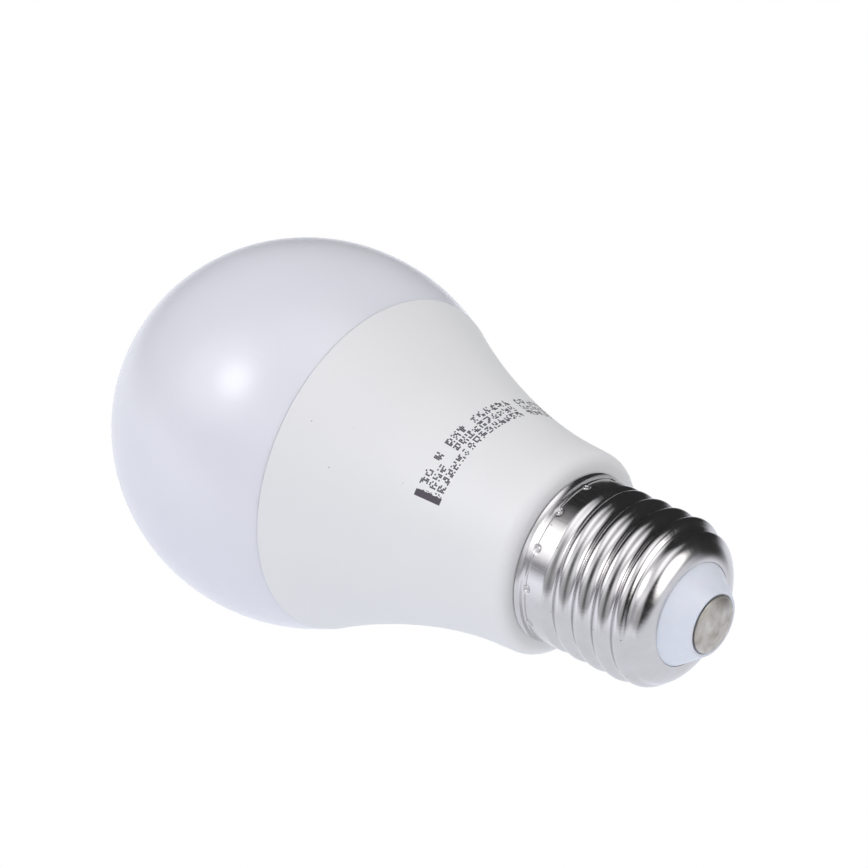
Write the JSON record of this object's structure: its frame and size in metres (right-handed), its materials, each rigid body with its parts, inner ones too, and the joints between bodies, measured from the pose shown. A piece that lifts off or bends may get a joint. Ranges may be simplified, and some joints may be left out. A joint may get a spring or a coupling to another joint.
{
  "type": "smart light bulb",
  "caption": "A60 LED light bulb with an opal globe, a white S-curved housing, an E27 screw cap and a built-in dusk sensor.",
  "frame": {"origin": "middle of the centre contact's end face", "axes": "+Z along the bulb's axis, out of the screw cap, so the globe hangs below; the driver board stands in the XZ plane"},
  "size_m": [0.061, 0.061, 0.1126],
  "materials": {
    "opal_plastic": "opal, glossy, injection moulded",
    "white_plastic": "warm white, fine matt moulded",
    "insulator_plastic": "bluish white, satin moulded",
    "nickel_plate": "nickel-plated drawn and rolled sheet",
    "contact_nickel": "nickel-plated, lightly stained",
    "drawn_aluminium": "deep-drawn, satin",
    "zinc_steel": "zinc-plated",
    "tinned_copper": "tinned",
    "silicone_pad": "grey-blue, matt",
    "clear_silicone": "translucent white",
    "white_solder_mask": "white reflective solder mask",
    "led_phosphor": "yellow phosphor in a white package",
    "socket_nylon": "natural nylon",
    "black_sleeve": "black heat-shrink sleeve",
    "sensor_ceramic": "cadmium-sulphide track under clear resin",
    "green_board": "glass-epoxy board with green mask",
    "black_epoxy": "moulded black epoxy",
    "capacitor_sleeve": "dark blue PVC sleeve on an aluminium can",
    "film_box": "ochre polyester box",
    "ferrite": "sintered ferrite, dark grey",
    "winding_tape": "yellow polyester tape over copper",
    "blue_lacquer": "dipped blue epoxy lacquer",
    "green_lacquer": "fireproof green lacquer",
    "red_insulation": "PVC wire insulation",
    "white_insulation": "PVC wire insulation"
  },
  "bodies": {
    "root": {"diffuser_globe": "opal_plastic", "globe_sealant": "clear_silicone", "housing_shell": "white_plastic", "heat_sink_cup": "drawn_aluminium", "thermal_pad": "silicone_pad", "led_board": "white_solder_mask", "led_01": "led_phosphor", "led_02": "led_phosphor", "led_03": "led_phosphor", "led_04": "led_phosphor", "led_05": "led_phosphor", "led_06": "led_phosphor", "led_07": "led_phosphor", "led_08": "led_phosphor", "led_09": "led_phosphor", "led_10": "led_phosphor", "led_11": "led_phosphor", "led_12": "led_phosphor", "board_screw_1": "zinc_steel", "board_screw_2": "zinc_steel", "board_screw_3": "zinc_steel", "light_sensor": "sensor_ceramic", "sensor_sleeve": "black_sleeve", "sensor_lead_1": "tinned_copper", "sensor_lead_2": "tinned_copper", "board_socket": "socket_nylon", "driver_board": "green_board", "bridge_rectifier": "black_epoxy", "driver_chip": "black_epoxy", "sensor_chip": "black_epoxy", "output_diode": "black_epoxy", "input_capacitor": "capacitor_sleeve", "output_capacitor": "capacitor_sleeve", "film_capacitor": "film_box", "filter_choke": "ferrite", "transformer_core": "ferrite", "transformer_winding": "winding_tape", "varistor": "blue_lacquer", "fuse_resistor": "green_lacquer", "output_pin_1": "tinned_copper", "output_pin_2": "tinned_copper", "live_wire": "red_insulation", "neutral_wire": "white_insulation", "screw_shell": "nickel_plate", "cap_insulator": "insulator_plastic", "centre_contact": "contact_nickel"}
  },
  "joints": []
}
